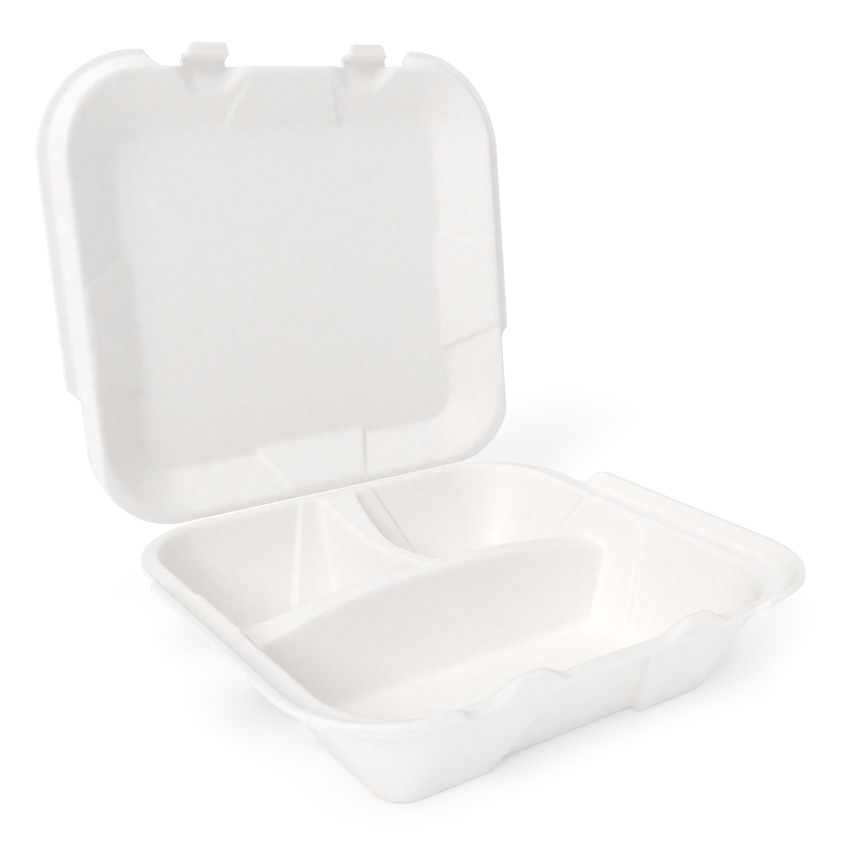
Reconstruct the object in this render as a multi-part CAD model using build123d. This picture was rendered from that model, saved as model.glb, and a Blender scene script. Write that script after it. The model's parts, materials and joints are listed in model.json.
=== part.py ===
from build123d import *
import math
import os

# A small hinged foam food container: a three-compartment tray and its lid, thermoformed together from
# one foam sheet. All sizes in mm. While building, y = 0 and z = 0 is the hinge line in the plane of
# the tray's rim, x runs along the hinge and -y is the front. The lid is built shut, then opened.

# Overall sizes
HALF_WIDTH = 107.0       # lip of tray and lid, from the middle
FRONT = 186.0            # hinge line to the front lip
TRAY_DEPTH = 42.5        # rim plane to the table
LID_DEPTH = 16.2         # rim plane to the top of the shut lid
SHEET = 2.2              # foam thickness
OPEN_DEG = 98.2          # how far the lid stands open
FOLD_GAP = 0.3           # each half ends this far short of the fold line
REST_GAP = 0.4           # shut lid above the tray's rim

# Tray
MOUTH_INSET = 15.5       # lip to the mouth of the cavity at the sides
WALL_RUN = 22.0          # how far the walls lean in from mouth to floor
FRONT_RUN = 20.5         # the same for the front wall
MOUTH_BACK = 3.5
MOUTH_FRONT = FRONT - 9.0
MOUTH_R = 31.0
FLOOR_R = 9.0
SHELF_HALF = HALF_WIDTH - 7.5
SHELF_FRONT = FRONT - 3.5
SHELF_R = 38.0
SLOPE_SIDE = HALF_WIDTH - 7.3    # where the flange starts to rise
SLOPE_FRONT = FRONT - 6.1
FLANGE_RISE = 5.75
FLANGE_RUN = 4.0
LIP_R = 37.6
CROSS_Y = 0.43 * FRONT   # long divider, behind the hinge line
CROSS_TOP = 4.0          # its crest below the rim, at the middle
CROSS_SAG = 14.0         # how much lower the crest is at the side walls
CREST_HALF = 4.0
CROSS_FOOT = 17.0
SPINE_FOOT = 16.0
SPINE_TOP = 2.0          # short divider, crest below the rim at the back wall
SPINE_DIP = 7.5
LUG_IN, LUG_OUT = 24.5, 46.5
LUG_HIGH = 5.0

# Lid
LID_MOUTH_INSET = 10.2
LID_MOUTH_BACK = 3.5
LID_MOUTH_FRONT = FRONT - 8.5
LID_MOUTH_R = 34.0
LID_RUN_SIDE = 20.6
LID_RUN_BACK = 16.1
LID_RUN_FRONT = 19.1
LID_FLOOR_R = 14.0
LID_LIP_R = 43.8
LID_SHELF_FRONT = FRONT - 7.0
LID_BACK_HALF = HALF_WIDTH - 5.2     # outline behind the flange, part way up its slope
TAB_IN, TAB_OUT = 28.7, 44.2
TAB_END = FRONT + 1.8
POCKET_HIGH = 6.2

# Flange ends: it stops at a slant near the back corners and at two tips beside the front tabs
WING_BACK = 52.0
TIP_X = 55.5


def mix(a, b, f):
    return a + (b - a) * f


def rounded(z, half, back, front, radius):
    """Rounded rectangle at height z, from y = -back to y = -front."""
    face = RectangleRounded(2 * half, front - back, radius)
    return Pos(0, -(back + front) / 2, z) * face


def block(z, x0, x1, y0, y1):
    return Pos((x0 + x1) / 2, (y0 + y1) / 2, z) * Rectangle(x1 - x0, y1 - y0)


def skin(run, rise, t):
    """Sideways shift of a leaning wall when its surface moves by t."""
    return t * math.hypot(run, rise) / rise


# ---- tray ----

INNER_Z = -(TRAY_DEPTH - SHEET)
MOUTH_HALF = HALF_WIDTH - MOUTH_INSET


def tray_section(z, t):
    f = z / INNER_Z
    g = skin(WALL_RUN, -INNER_Z, t)
    half = mix(MOUTH_HALF, MOUTH_HALF - WALL_RUN, f) + g
    back = mix(MOUTH_BACK, MOUTH_BACK + WALL_RUN, f) - g
    front = mix(MOUTH_FRONT, MOUTH_FRONT - FRONT_RUN, f) + g
    return rounded(z, half, back, front, mix(MOUTH_R, FLOOR_R, f) + g)


def tray_form(t):
    """The cavity's form grown by t."""
    body = loft([tray_section(2.0, t), tray_section(INNER_Z - t, t)], ruled=True)
    foot = body.edges().group_by(Axis.Z)[0]
    return fillet(foot, 3.0 + 0.2 * t)


def panel(wall, centre, t, top=(17.5, 1.0), foot=(35.0, 4.0), lean=WALL_RUN, depth=-INNER_Z):
    """Raised panel on a leaning wall. wall is the mouth line's distance along +Y, before turning."""
    ga, rise = skin(foot[0] - top[0], depth, t), depth
    gb = skin(lean, depth, t)
    faces = []
    for z in (2.0, -depth - t):
        f = -z / rise
        half = mix(top[0], foot[0], f) - ga
        near = wall - mix(0, lean, f) - mix(top[1], foot[1], f) + gb
        faces.append(block(z, centre - half, centre + half, near, wall + 12))
    return loft(faces, ruled=True)


def side_panels(build, half, middle, t):
    """The same panel on the left and right walls."""
    base = build(half, middle, t)
    right = Rot(0, 0, -90) * base
    left = Rot(0, 0, 90) * mirror(base, Plane.YZ)
    return right, left


def under_arc(p0, p1, p2, low, plane):
    """Everything below an arc, as a face on a plane."""
    arc = ThreePointArc(p0, p1, p2)
    rest = Polyline(p2, (p2[0], low), (p0[0], low), p0)
    return plane * make_face(Curve() + [arc, rest])


def soft_crest(body, radius):
    """Rounds the curved edges along a divider's crest."""
    edges = [e for e in body.edges() if e.geom_type != GeomType.LINE and e.center().Z > INNER_Z / 1.5]
    return fillet(edges, radius)


def cross_divider(t):
    """Long divider from side wall to side wall, with a crest that sags towards them."""
    lean = (CROSS_FOOT - CREST_HALF) / (-INNER_Z - CROSS_TOP)
    g = t * math.hypot(1, lean)
    top, low, reach = -CROSS_TOP - t, -TRAY_DEPTH - 3, MOUTH_HALF + 2
    half_top = CREST_HALF + t * lean - g
    half_low = CREST_HALF + (-CROSS_TOP - low) * lean - g
    body = loft([
        block(low, -reach, reach, -CROSS_Y - half_low, -CROSS_Y + half_low),
        block(top, -reach, reach, -CROSS_Y - half_top, -CROSS_Y + half_top),
    ], ruled=True)
    under = under_arc((-reach, top - CROSS_SAG), (0, top), (reach, top - CROSS_SAG), low, Plane.XZ)
    body &= extrude(under, amount=FRONT, both=True)
    return soft_crest(body, 3.0 if t == 0 else 1.0)


def spine_divider(t):
    """Short divider from the back wall to the long one, wide where it leaves the back panel."""
    low = -TRAY_DEPTH - 3
    rise = -INNER_Z - SPINE_TOP
    sections = []
    for y, crest, foot in ((2.0, 9.0, SPINE_FOOT + 3), (-0.13 * FRONT, CREST_HALF + 0.5, SPINE_FOOT),
                           (-CROSS_Y, CREST_HALF, SPINE_FOOT)):
        lean = (foot - crest) / rise
        g = t * math.hypot(1, lean)
        half_top, half_low = crest + t * lean - g, crest + (-SPINE_TOP - low) * lean - g
        top = -SPINE_TOP - t
        ring = Polyline((-half_low, low), (half_low, low), (half_top, top), (-half_top, top), (-half_low, low))
        sections.append(Plane(origin=(0, y, 0), x_dir=(1, 0, 0), z_dir=(0, -1, 0)) * make_face(ring))
    body = loft(sections, ruled=True)
    under = under_arc((2.0, -SPINE_TOP + 0.5 - t), (-0.26 * FRONT, -SPINE_DIP - t), (-CROSS_Y, -CROSS_TOP - 0.5 - t),
                      low, Plane.YZ)
    return body & extrude(under, amount=HALF_WIDTH, both=True)


def islands(t):
    """What stands up inside the tray: wall panels and dividers."""
    middle = (MOUTH_BACK + MOUTH_FRONT) / 2
    back = panel(-MOUTH_BACK, 0, t)
    front = mirror(panel(MOUTH_FRONT, 0, t, lean=FRONT_RUN), Plane.XZ)
    right, left = side_panels(panel, MOUTH_HALF, middle - 9, t)
    return back + front + right + left + cross_divider(t) + spine_divider(t)


def flange_zone():
    """Plan of the part that keeps its raised flange, right and left."""
    run = HALF_WIDTH - SHELF_HALF
    pts = [(SHELF_HALF - run, -WING_BACK + run), (SHELF_HALF + 3 * run, -WING_BACK - 3 * run),
           (HALF_WIDTH + 20, -FRONT - 20), (TIP_X + 14, -FRONT - 14), (TIP_X, -FRONT + 9),
           (TIP_X - 6, -FRONT + 18)]
    right = make_face(Polyline(*pts, pts[0]))
    zone = extrude(right, amount=30, both=True)
    return zone + mirror(zone, Plane.YZ)


def rim_plate(z0, half, front, radius, back=FOLD_GAP):
    return extrude(rounded(z0, half, back, front, radius), amount=SHEET)


def tray_flange():
    g = skin(FLANGE_RUN, FLANGE_RISE, SHEET)
    slope = FLANGE_RUN / FLANGE_RISE

    def ring(z, grow):
        d = slope * z + grow
        return rounded(z, SLOPE_SIDE + d, -30, SLOPE_FRONT + d, SLOPE_SIDE - HALF_WIDTH + LIP_R + d)

    lip_low = FLANGE_RISE - SHEET
    body = loft([ring(-SHEET, g), ring(lip_low, g)], ruled=True)
    body += extrude(rounded(lip_low, HALF_WIDTH, -30, FRONT, LIP_R), amount=SHEET)
    return (body - loft([ring(0, 0), ring(FLANGE_RISE + 2, 0)], ruled=True)) & flange_zone()


def lug():
    back, front = MOUTH_FRONT, MOUTH_FRONT + 4.7
    body = loft([
        block(-1.0, LUG_IN, LUG_OUT, -front, -back),
        block(LUG_HIGH, LUG_IN + 5, LUG_OUT - 5, -front + 0.9, -back - 0.6),
    ], ruled=True)
    body = fillet(body.edges().group_by(Axis.Z)[-1], 1.2)
    return body + mirror(body, Plane.YZ)


def build_tray():
    body = tray_form(SHEET) - islands(SHEET)
    body &= Pos(0, -FRONT / 2, -TRAY_DEPTH / 2) * Box(3 * HALF_WIDTH, 2 * FRONT, TRAY_DEPTH)
    body += rim_plate(-SHEET, SHELF_HALF, SHELF_FRONT, SHELF_R)
    body += tray_flange()
    body -= tray_form(0) - islands(0)
    nose = Pos(0, -0.25, -0.1) * Box(2 * (SHELF_HALF - SHELF_R), 0.5, 0.2)
    nose += Rot(0, 90, 0) * Cylinder(0.2, 2 * (SHELF_HALF - SHELF_R))
    return body + lug() + nose


# ---- lid, built shut ----

LID_INNER = LID_DEPTH - SHEET
LID_RISE = LID_INNER - REST_GAP
LID_HALF = HALF_WIDTH - LID_MOUTH_INSET
BAND_SIDE = LID_HALF + 2.0
BAND_FRONT = LID_MOUTH_FRONT + 1.5


def lid_section(z, t):
    f = (z - REST_GAP) / LID_RISE
    side, back, front = (skin(r, LID_RISE, t) for r in (LID_RUN_SIDE, LID_RUN_BACK, LID_RUN_FRONT))
    return rounded(z, LID_HALF - LID_RUN_SIDE * f + side, LID_MOUTH_BACK + LID_RUN_BACK * f - back,
                   LID_MOUTH_FRONT - LID_RUN_FRONT * f + front, mix(LID_MOUTH_R, LID_FLOOR_R, f) + side)


def lid_form(t, low):
    body = loft([lid_section(low, t), lid_section(LID_INNER + t, t)], ruled=True)
    return fillet(body.edges().group_by(Axis.Z)[-1], 3.0 + t)


def lid_panel(wall, centre, t, lean=LID_RUN_SIDE):
    """Panel hanging inside the shut lid: the tray's panel turned over."""
    body = panel(wall, centre, t, top=(18.0, 0.8), foot=(27.0, 3.0), lean=lean, depth=LID_RISE)
    return Pos(0, 0, REST_GAP) * mirror(body, Plane.XY)


def lid_islands(t):
    back = lid_panel(-LID_MOUTH_BACK, 0, t, LID_RUN_BACK)
    front = mirror(lid_panel(LID_MOUTH_FRONT, 0, t, LID_RUN_FRONT), Plane.XZ)
    right, left = side_panels(lid_panel, LID_HALF, (LID_MOUTH_BACK + LID_MOUTH_FRONT) / 2 - 11, t)
    return back + front + right + left


def pocket(t):
    """Bump in the lid's front wall that a lug fits into."""
    front = MOUTH_FRONT + 5.3
    body = loft([
        block(REST_GAP if t else -2.0, LUG_IN - 1.2 - t, LUG_OUT + 1.2 + t, -front - t, -front + 22),
        block(POCKET_HIGH + t, LUG_IN + 0.8 - t, LUG_OUT - 0.8 + t, -front + 0.5 - t, -front + 22),
    ], ruled=True)
    return body + mirror(body, Plane.YZ)


def lid_flange():
    g = skin(FLANGE_RUN, FLANGE_RISE, SHEET)
    slope = FLANGE_RUN / FLANGE_RISE
    lip_low = REST_GAP + FLANGE_RISE

    def ring(z, grow):
        d = slope * (z - REST_GAP) + grow
        return rounded(z, BAND_SIDE + d, -30, BAND_FRONT + d, BAND_SIDE - HALF_WIDTH + LID_LIP_R + d)

    body = loft([ring(REST_GAP, 0), ring(lip_low, 0)], ruled=True)
    body += extrude(rounded(lip_low, HALF_WIDTH, -30, FRONT, LID_LIP_R), amount=SHEET)
    body -= loft([ring(REST_GAP + SHEET, -g), ring(lip_low + SHEET + 2, -g)], ruled=True)
    behind = extrude(rounded(0, LID_BACK_HALF, FOLD_GAP, 100, 33), amount=30)
    return body & (flange_zone() + behind)


def tab():
    root = MOUTH_FRONT + 4.0
    pts = [(TAB_IN - 1.2, -root), (TAB_IN, -TAB_END), (TAB_OUT, -TAB_END), (TAB_OUT + 2.8, -root)]
    face = fillet(make_face(Polyline(*pts, pts[0])).vertices().group_by(Axis.Y)[0], 2.0)
    body = extrude(Pos(0, 0, REST_GAP) * face, amount=SHEET)
    return body + mirror(body, Plane.YZ)


def build_lid():
    body = lid_form(SHEET, REST_GAP + SHEET) - lid_islands(SHEET)
    body += rim_plate(REST_GAP, BAND_SIDE, LID_SHELF_FRONT, SHELF_R)
    body += lid_flange() + tab() + pocket(SHEET)
    body -= lid_form(0, -2.0) - lid_islands(0)
    return body - pocket(0)


tray = build_tray()
lid = build_lid().rotate(Axis.X, -OPEN_DEG)

# The frame: middle of the open container's box, on the table.
box = (tray + lid).bounding_box()
shift = Vector(0, -(box.min.Y + box.max.Y) / 2, TRAY_DEPTH)
tray = tray.translate(shift)
lid = lid.translate(shift)

os.makedirs("parts", exist_ok=True)
export_step(tray, "parts/tray.step")
export_step(lid, "parts/lid.step")
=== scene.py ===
import json
import math

import bmesh
import bpy
from mathutils import Matrix, Vector


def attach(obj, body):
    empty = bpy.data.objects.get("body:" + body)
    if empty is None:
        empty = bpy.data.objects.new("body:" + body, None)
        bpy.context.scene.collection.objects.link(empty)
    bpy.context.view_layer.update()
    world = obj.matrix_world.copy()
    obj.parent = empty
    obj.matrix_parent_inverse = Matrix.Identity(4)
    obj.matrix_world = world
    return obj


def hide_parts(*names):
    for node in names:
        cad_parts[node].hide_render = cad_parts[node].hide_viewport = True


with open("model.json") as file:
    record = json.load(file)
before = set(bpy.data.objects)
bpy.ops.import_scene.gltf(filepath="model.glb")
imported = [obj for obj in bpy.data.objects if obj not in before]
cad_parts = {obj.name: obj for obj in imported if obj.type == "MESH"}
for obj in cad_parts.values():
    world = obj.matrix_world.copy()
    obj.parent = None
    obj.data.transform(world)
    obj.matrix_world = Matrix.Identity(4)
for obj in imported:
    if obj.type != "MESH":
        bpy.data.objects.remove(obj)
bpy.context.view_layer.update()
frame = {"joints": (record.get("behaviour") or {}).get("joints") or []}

# Hinged foam food container: one thermoformed sheet, pressed into a divided tray and a shallow lid.
# Shapes are worked out in mm from the fold line: x along the fold, -y to the front, z up from the rim.
# The lid is pressed shut, above the tray, and then opened about the fold.

MM = 0.001
HINGE = Vector(frame["joints"][0]["pos_m"])
OPEN_DEG = 98.2

# Sheet and overall outline
SHEET = 2.2
HALF_WIDTH = 107.0
FRONT = 186.0
FOLD_GAP = 0.3
FLANGE_RISE = 5.75
FLANGE_RUN = 4.0
WING_BACK = 52.0
TIP_X = 55.5
FOLD_CLEAR = 20.0      # the flange outline stops this far in front of the fold

# Tray: rectangles are (half width, back, front, corner radius)
MOUTH = (91.5, 3.5, 177.0, 31.0)
FLOOR = (69.5, 25.5, 156.5, 9.0)
FLOOR_Z = -40.3
SHELF = (99.5, FOLD_GAP, 182.5, 38.0)
SLOPE_FOOT = (99.7, -30.0, 179.9, 30.3)
LIP = (HALF_WIDTH, -30.0, FRONT, 37.6)
TIP_CUT = (0.70, 0.71)      # slant of the flange's front tips, across and forwards
LUG_X, LUG_HALF, LUG_SIDE, LUG_HIGH = 35.5, 15.5, 12.0, 5.2
CROSS_Y = 80.0
CREST_HALF = 3.4
CROSS_FOOT = 17.0
SPINE_FOOT = 16.0

# Lid
LID_GAP = 0.4
LID_MOUTH = (96.8, 3.5, 177.5, 34.0)
LID_FLOOR = (76.2, 19.6, 158.4, 14.0)
LID_INNER = 14.0
LID_SHELF = (98.8, FOLD_GAP, 179.0, 38.0)
LID_BEHIND = (101.8, FOLD_GAP, 100.0, 33.0)
LID_BAND = (98.8, -30.0, 179.0, 35.6)
LID_LIP = (HALF_WIDTH, -30.0, FRONT, 43.8)
LID_TIP_CUT = (0.84, 0.54)
TAB_IN, TAB_OUT, TAB_END = 28.7, 44.2, 187.8
POCKET_HALF, POCKET_HIGH = 17.5, 6.4

# Rows of the pressing grid: (end in mm, number of cells up to it). Close rows where the sheet bends.
TRAY_X = ((-107.6, 0), (-88, 30), (-66, 20), (-35, 21), (35, 74), (66, 21), (88, 20), (107.6, 30))
TRAY_Y = ((-186.6, 0), (-175, 19), (-153, 20), (-116, 25), (-97, 19), (-61, 42), (-27, 33), (-5, 22), (0, 8))
LID_X = ((-107.6, 0), (-92, 25), (-72, 18), (-48, 17), (48, 100), (72, 17), (92, 18), (107.6, 25))
LID_Y = ((-188.4, 0), (-174, 25), (-156, 18), (-110, 32), (-96, 14), (-62, 24), (-50, 12),
         (-22, 20), (-6, 15), (0, 9))


# ---- shape functions ----

def smooth_max(a, b, k):
    h = max(k - abs(a - b), 0.0) / k
    return max(a, b) + h * h * k * 0.25


def smooth_min(a, b, k):
    return -smooth_max(-a, -b, k)


def ease(x, start, end):
    f = min(max((x - start) / (end - start), 0.0), 1.0)
    return f * f * (3 - 2 * f)


def away(x, y, rect):
    """Distance outside a rounded rectangle, negative inside it."""
    half, back, front, radius = rect
    dx = abs(x) - (half - radius)
    dy = abs(y + (back + front) / 2) - ((front - back) / 2 - radius)
    return math.hypot(max(dx, 0), max(dy, 0)) + min(max(dx, dy), 0) - radius


def skin(run, rise, t):
    """Sideways shift of a leaning wall when its surface moves by t."""
    return t * math.hypot(run, rise) / rise


def panel(along, inward, wall, top, foot, t):
    """Height share (0 mouth, 1 floor) of a raised panel's face and of its slanting sides."""
    run, rise = wall
    face = (inward - top[1] + skin(run, rise, t)) / (run + foot[1] - top[1])
    side = (abs(along) + skin(foot[0] - top[0], rise, t) - top[0]) / (foot[0] - top[0])
    return face, side


def ridge(off, crest, half, lean, t):
    """Section across a divider, from its crest height, half width and sideways lean."""
    side = crest - (off - half + t * math.hypot(1, lean)) / lean
    return smooth_min(crest - t, side, 2.2)


def flange(s, level, t, side, k=1.4):
    """Level shelf, slope and lip. side is 1 for the tray's underside and -1 for the lid's outside."""
    rise = level + (s - side * skin(FLANGE_RUN, FLANGE_RISE, t)) * FLANGE_RISE / FLANGE_RUN
    flat = level - side * t
    return smooth_min(flat + FLANGE_RISE, smooth_max(flat, rise, k), k) - flat


# ---- tray ----

def dividers(x, y, t):
    lean = (CROSS_FOOT - CREST_HALF) / 36.3
    cross = smooth_min(-4.0 - 14.0 * (x / 93.5) ** 2 - t,
                       ridge(abs(y + CROSS_Y), -4.0, CREST_HALF, lean, t), 2.5)
    saddle = -7.5 * math.sin(math.pi * min(max((y + CROSS_Y) / (CROSS_Y - 4), 0), 1)) ** 1.5
    crest = -4.5 + 3.0 * ease(y, -40, -4) + 0.62 * saddle
    end = crest - max(-y - CROSS_Y, 0) / 0.25
    lean = (SPINE_FOOT - CREST_HALF) / 38.3
    spine = smooth_min(end - t, ridge(abs(x), crest, CREST_HALF + 4.0 * ease(y, -50, 0), lean, t), 2.5)
    return smooth_max(cross, spine, 4.0)


def wall_panels(x, y, t):
    best = -99.0
    for along, inward, run in ((x, -MOUTH[1] - y, 22.0), (x, MOUTH[2] + y, 20.5),
                               (y + 81.2, MOUTH[0] - abs(x), 22.0)):
        face, side = panel(along, inward, (run, -FLOOR_Z), (17.5, 1.0), (35.0, 4.0), t)
        best = max(best, smooth_min(FLOOR_Z * face, FLOOR_Z * side, 1.2))
    return best


def lug(x, y):
    """Two lugs on the front shelf that the lid's pockets drop over."""
    hump = LUG_HIGH * ease(LUG_HALF - abs(abs(x) - LUG_X), 0.0, LUG_SIDE)
    return min(smooth_min(hump, (-176.8 - y) * 4, 1.5), smooth_min(hump, (y + 182.2) * 4, 1.5))


def tray_height(x, y, t):
    g = skin(21.5, -FLOOR_Z, t)
    inside, outside = g - away(x, y, MOUTH), away(x, y, FLOOR) - g
    wall = FLOOR_Z * inside / max(inside + outside, 1.0)
    form = smooth_max(wall, wall_panels(x, y, t), 0.8)
    form = smooth_max(form, FLOOR_Z - t, 2.6)
    walls = dividers(x, y, t)
    form = smooth_max(form, walls, 3.5 + 13.0 * ease(max(form, walls), -34, -5) * ease(y, -70, -15))
    raised = ease(abs(x), TIP_X - 2, TIP_X + 14) if y < -150 else 1.0
    rim = -t + raised * flange(away(x, y, SLOPE_FOOT), 0.0, t, 1)
    height = smooth_min(form, rim, 2.2 - 0.5 * t)
    return max(height, lug(x, y)) if t == 0 else height


def kept_flange(x, y, lip, cut):
    """Plan of the raised flange: it ends at a slant near the back and at two tips in front."""
    rear = (abs(x) - 99.5 + y + WING_BACK) * math.sqrt(0.5)
    tip = (TIP_X - abs(x)) * cut[0] - (y + 177.0) * cut[1]
    return max(away(x, y, lip), rear, tip, y + FOLD_CLEAR)


def tray_outline(x, y):
    return min(away(x, y, SHELF), kept_flange(x, y, LIP, TIP_CUT))


# ---- lid ----

def lid_panels(x, y, t):
    rise = LID_INNER - LID_GAP
    best = 99.0
    for along, inward, run in ((x, -LID_MOUTH[1] - y, 16.1), (x, LID_MOUTH[2] + y, 19.1),
                               (y + 79.5, LID_MOUTH[0] - abs(x), 20.6)):
        face, side = panel(along, inward, (run, rise), (18.0, 0.8), (27.0, 3.0), t)
        best = min(best, LID_GAP + smooth_max(rise * face, rise * side, 0.8))
    return best


def pocket(x, y, t):
    hump = POCKET_HIGH * ease(POCKET_HALF - abs(abs(x) - LUG_X), 0.0, LUG_SIDE)
    return LID_GAP + min(hump + t, (y + 182.35 + t) * 12)


def lid_height(x, y, t):
    rise = LID_INNER - LID_GAP
    g = skin(19.0, rise, t)
    inside, outside = g - away(x, y, LID_MOUTH), away(x, y, LID_FLOOR) - g
    wall = LID_GAP + rise * inside / max(inside + outside, 1.0)
    form = smooth_min(wall, lid_panels(x, y, t), 0.8)
    form = smooth_min(form, LID_INNER + t, 0.9 + 0.6 * t)
    raised = ease(abs(x), TIP_X - 6, TIP_X + 3) if y < -150 else 1.0
    rim = LID_GAP + t + raised * flange(away(x, y, LID_BAND), LID_GAP, t, -1)
    height = smooth_max(form, rim, 1.0 + 0.3 * t)
    if y < -164:
        height = smooth_max(height, pocket(x, y, t), 0.8)
    return height - 0.10 * max(-y - 182.6, 0) * (1 - raised)


def tab_outline(x, y):
    slant = ease(-y, TAB_END, 180.0)
    side = max(TAB_IN - 1.2 * slant - abs(x), abs(x) - TAB_OUT - 2.8 * slant)
    return smooth_max(smooth_max(side, -y - TAB_END, 2.0), y + 170, 0.5)


def lid_outline(x, y):
    return min(away(x, y, LID_SHELF), away(x, y, LID_BEHIND), tab_outline(x, y),
               kept_flange(x, y, LID_LIP, LID_TIP_CUT))


# ---- pressing a sheet ----

def station(i, rows):
    """Position of grid row i, from the table of rows."""
    low = rows[0][0]
    for end, count in rows[1:]:
        if i <= count:
            return low + (end - low) * i / count
        i -= count
        low = end
    return low


def trim(bm, outline):
    """Cuts the sheet to its outline and moves the cut edge onto it."""
    gone = [f for f in bm.faces if outline(*f.calc_center_median()[:2]) > 0]
    bmesh.ops.delete(bm, geom=gone, context="FACES")
    for v in [v for v in bm.verts if v.is_boundary]:
        for _ in range(3):
            x, y = v.co.x, v.co.y
            d, e = outline(x, y), 0.05
            gx = (outline(x + e, y) - outline(x - e, y)) / (2 * e)
            gy = (outline(x, y + e) - outline(x, y - e)) / (2 * e)
            n = max(gx * gx + gy * gy, 0.2)
            v.co.x -= d * gx / n
            v.co.y -= d * gy / n


def press(name, xs, ys, outline, height, up):
    """Presses a flat sheet between two mould faces. up is 1 where the thickness grows upwards."""
    nx, ny = sum(c for _, c in xs), sum(c for _, c in ys)
    bm = bmesh.new()
    bmesh.ops.create_grid(bm, x_segments=nx, y_segments=ny, size=0.5)
    for v in bm.verts:
        v.co.x = station(round((v.co.x + 0.5) * nx), xs)
        v.co.y = station(round((v.co.y + 0.5) * ny), ys)
    trim(bm, outline)
    bmesh.ops.solidify(bm, geom=bm.faces[:], thickness=1.0)
    middle = sum(v.co.z for v in bm.verts) / len(bm.verts)
    for v in bm.verts:
        inner = (v.co.z - middle) * up < 0
        v.co.z = height(v.co.x, v.co.y, 0.0 if inner else SHEET)
    rims = [e for e in bm.edges
            if e.calc_face_angle(0) > 1.0 and any(outline(*v.co[:2]) > -0.02 for v in e.verts)]
    bmesh.ops.bevel(bm, geom=rims, offset=0.35, affect="EDGES", segments=2, profile=0.5, material=-1)
    bmesh.ops.recalc_face_normals(bm, faces=bm.faces[:])
    return finish_piece(name, bm)


def finish_piece(name, bm):
    for f in bm.faces:
        f.smooth = True
    mesh = bpy.data.meshes.new(name)
    bm.to_mesh(mesh)
    bm.free()
    piece = bpy.data.objects.new(name, mesh)
    bpy.context.scene.collection.objects.link(piece)
    return piece


def place(piece, turn_deg=0.0):
    piece.data.transform(Matrix.Translation(HINGE) @ Matrix.Rotation(math.radians(turn_deg), 4, "X")
                         @ Matrix.Scale(MM, 4))
    piece.data.update()


# ---- materials ----

def colour(hex_code):
    """sRGB hex to linear RGBA."""
    parts = [int(hex_code[i:i + 2], 16) / 255 for i in (1, 3, 5)]
    return (*(c / 12.92 if c <= 0.04045 else ((c + 0.055) / 1.055) ** 2.4 for c in parts), 1.0)


def add(tree, kind, links=(), **settings):
    """Adds a node, sets it up and links (socket, source socket) pairs."""
    node = tree.nodes.new(kind)
    for key, value in settings.items():
        if hasattr(node, key):
            setattr(node, key, value)
        else:
            node.inputs[key.replace("_", " ")].default_value = value
    for socket, source in links:
        tree.links.new(source, node.inputs[socket])
    return node


def foam():
    """Expanded polystyrene foam sheet, thermoformed. Warm white, softly translucent, with a satin skin in
    which the closed cells show as fine speckle and small glints."""
    mat = bpy.data.materials.new("expanded_polystyrene_foam")
    mat.use_nodes = True
    tree = mat.node_tree
    shader = tree.nodes["Principled BSDF"]
    place_on = add(tree, "ShaderNodeTexCoord").outputs["Object"]
    cells = add(tree, "ShaderNodeTexVoronoi", [("Vector", place_on)], feature="F1", Scale=1 / (1.1 * MM))
    mottle = add(tree, "ShaderNodeTexNoise", [("Vector", place_on)],
                 Scale=1 / (3 * MM), Detail=4.0, Roughness=0.6)
    sway = add(tree, "ShaderNodeTexNoise", [("Vector", place_on)], Scale=1 / (28 * MM), Detail=2.0)
    tone = add(tree, "ShaderNodeMapRange", [("Value", mottle.outputs["Fac"])])
    tone.inputs["From Min"].default_value, tone.inputs["From Max"].default_value = 0.3, 0.7
    tint = add(tree, "ShaderNodeMix", [("Factor", tone.outputs["Result"])], data_type="RGBA")
    tint.inputs[6].default_value, tint.inputs[7].default_value = colour("#F1EFED"), colour("#F5F3F2")
    tree.links.new(tint.outputs[2], shader.inputs["Base Color"])
    gloss = add(tree, "ShaderNodeMapRange", [("Value", cells.outputs["Color"])])
    gloss.inputs["To Min"].default_value, gloss.inputs["To Max"].default_value = 0.38, 0.62
    tree.links.new(gloss.outputs["Result"], shader.inputs["Roughness"])
    soft = add(tree, "ShaderNodeBump", [("Height", sway.outputs["Fac"])], Strength=0.12, Distance=1.2 * MM)
    skin_bump = add(tree, "ShaderNodeBump",
                    [("Height", mottle.outputs["Fac"]), ("Normal", soft.outputs["Normal"])],
                    Strength=0.3, Distance=0.25 * MM)
    fine = add(tree, "ShaderNodeBump",
               [("Height", cells.outputs["Distance"]), ("Normal", skin_bump.outputs["Normal"])],
               Strength=0.35, Distance=0.12 * MM)
    tree.links.new(fine.outputs["Normal"], shader.inputs["Normal"])
    shader.inputs["IOR"].default_value = 1.5
    shader.inputs["Subsurface Weight"].default_value = 0.2
    shader.inputs["Subsurface Radius"].default_value = (1.0, 0.95, 0.9)
    shader.inputs["Subsurface Scale"].default_value = 3 * MM
    return mat


# ---- the container ----

skin_foam = foam()
tray = press("tray_sheet", TRAY_X, TRAY_Y, tray_outline, tray_height, -1)
place(tray)
lid = press("lid_sheet", LID_X, LID_Y, lid_outline, lid_height, 1)
place(lid, -OPEN_DEG)

for piece, body in ((tray, "tray"), (lid, "lid")):
    piece.data.materials.append(skin_foam)
    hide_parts(body)
    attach(piece, body)


# ---- studio ----

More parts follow.
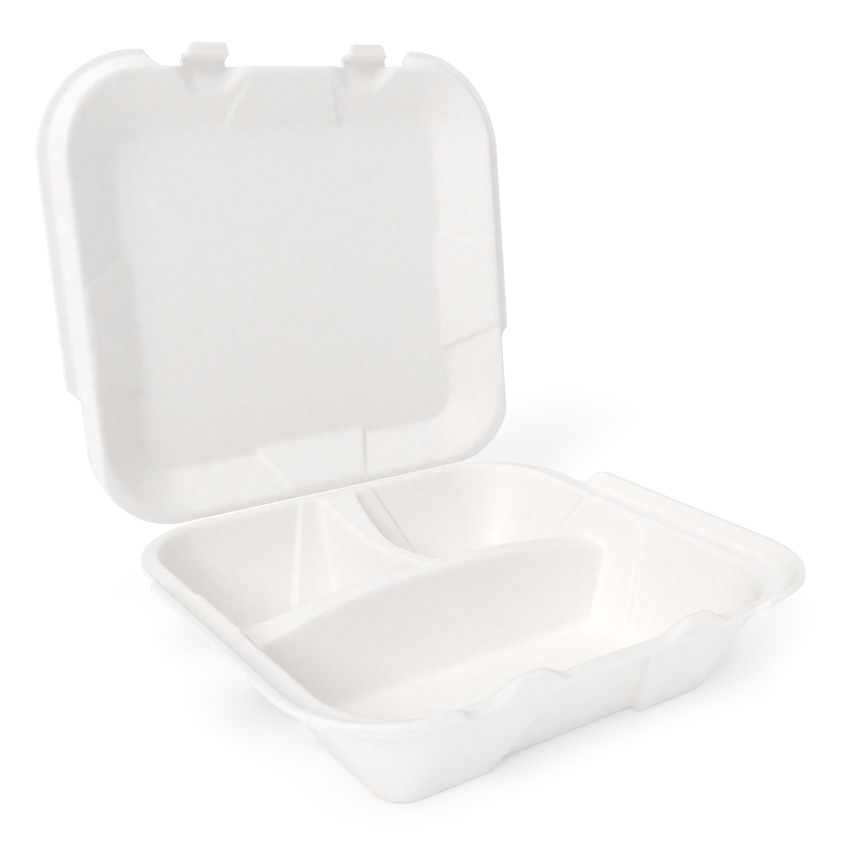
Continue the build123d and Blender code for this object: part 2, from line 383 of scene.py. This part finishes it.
def studio_floor():
    bm = bmesh.new()
    bmesh.ops.create_grid(bm, x_segments=1, y_segments=1, size=6.0)
    floor = finish_piece("studio_floor", bm)
    mat = bpy.data.materials.new("matt_white_backdrop_paper")
    mat.use_nodes = True
    shader = mat.node_tree.nodes["Principled BSDF"]
    shader.inputs["Base Color"].default_value = colour("#EFEFEF")
    shader.inputs["Roughness"].default_value = 0.9
    shader.inputs["Specular IOR Level"].default_value = 0.0
    shader.inputs["Emission Color"].default_value = (1, 1, 1, 1)
    shader.inputs["Emission Strength"].default_value = 0.22
    floor.data.materials.append(mat)


def soft_sun(name, towards, width_deg, strength):
    """A distant lamp as wide as a soft box, shining the same way everywhere."""
    light = bpy.data.lights.new(name, "SUN")
    light.angle, light.energy = math.radians(width_deg), strength
    lamp = bpy.data.objects.new(name, light)
    lamp.rotation_euler = Vector(towards).to_track_quat("-Z", "Y").to_euler()
    bpy.context.scene.collection.objects.link(lamp)


def studio():
    studio_floor()
    world = bpy.data.worlds.new("studio_air")
    world.use_nodes = True
    tree = world.node_tree
    seen = add(tree, "ShaderNodeLightPath").outputs["Is Camera Ray"]
    level = add(tree, "ShaderNodeMapRange", [("Value", seen)])
    level.inputs["To Min"].default_value, level.inputs["To Max"].default_value = 0.50, 1.05
    tree.links.new(level.outputs["Result"], tree.nodes["Background"].inputs["Strength"])
    tree.nodes["Background"].inputs["Color"].default_value = (1, 1, 1, 1)
    bpy.context.scene.world = world
    soft_sun("key", (0.80, 0.42, -0.62), 22, 0.85)
    soft_sun("overhead", (0.05, 0.1, -1.0), 70, 0.95)
    bpy.context.scene.view_settings.view_transform = "Standard"


def camera():
    """Standing at the front left, looking slightly down."""
    yaw, pitch, roll = (math.radians(a) for a in (34.65, 17.17, 0.47))
    ahead = Vector((math.sin(yaw) * math.cos(pitch), math.cos(yaw) * math.cos(pitch), -math.sin(pitch)))
    right = Vector((math.cos(yaw), -math.sin(yaw), 0))
    up = right.cross(ahead)
    across = math.cos(roll) * right + math.sin(roll) * up
    tall = -math.sin(roll) * right + math.cos(roll) * up
    data = bpy.data.cameras.new("camera")
    data.sensor_width, data.lens = 36.0, 50.1
    data.clip_start = 0.01
    cam = bpy.data.objects.new("camera", data)
    spot = HINGE + Vector((-241.8, -421.0, 179.9)) * MM
    turn = Matrix((across, tall, -ahead)).transposed()
    cam.matrix_world = Matrix.Translation(spot) @ turn.to_4x4()
    bpy.context.scene.collection.objects.link(cam)
    bpy.context.scene.camera = cam


studio()
camera()
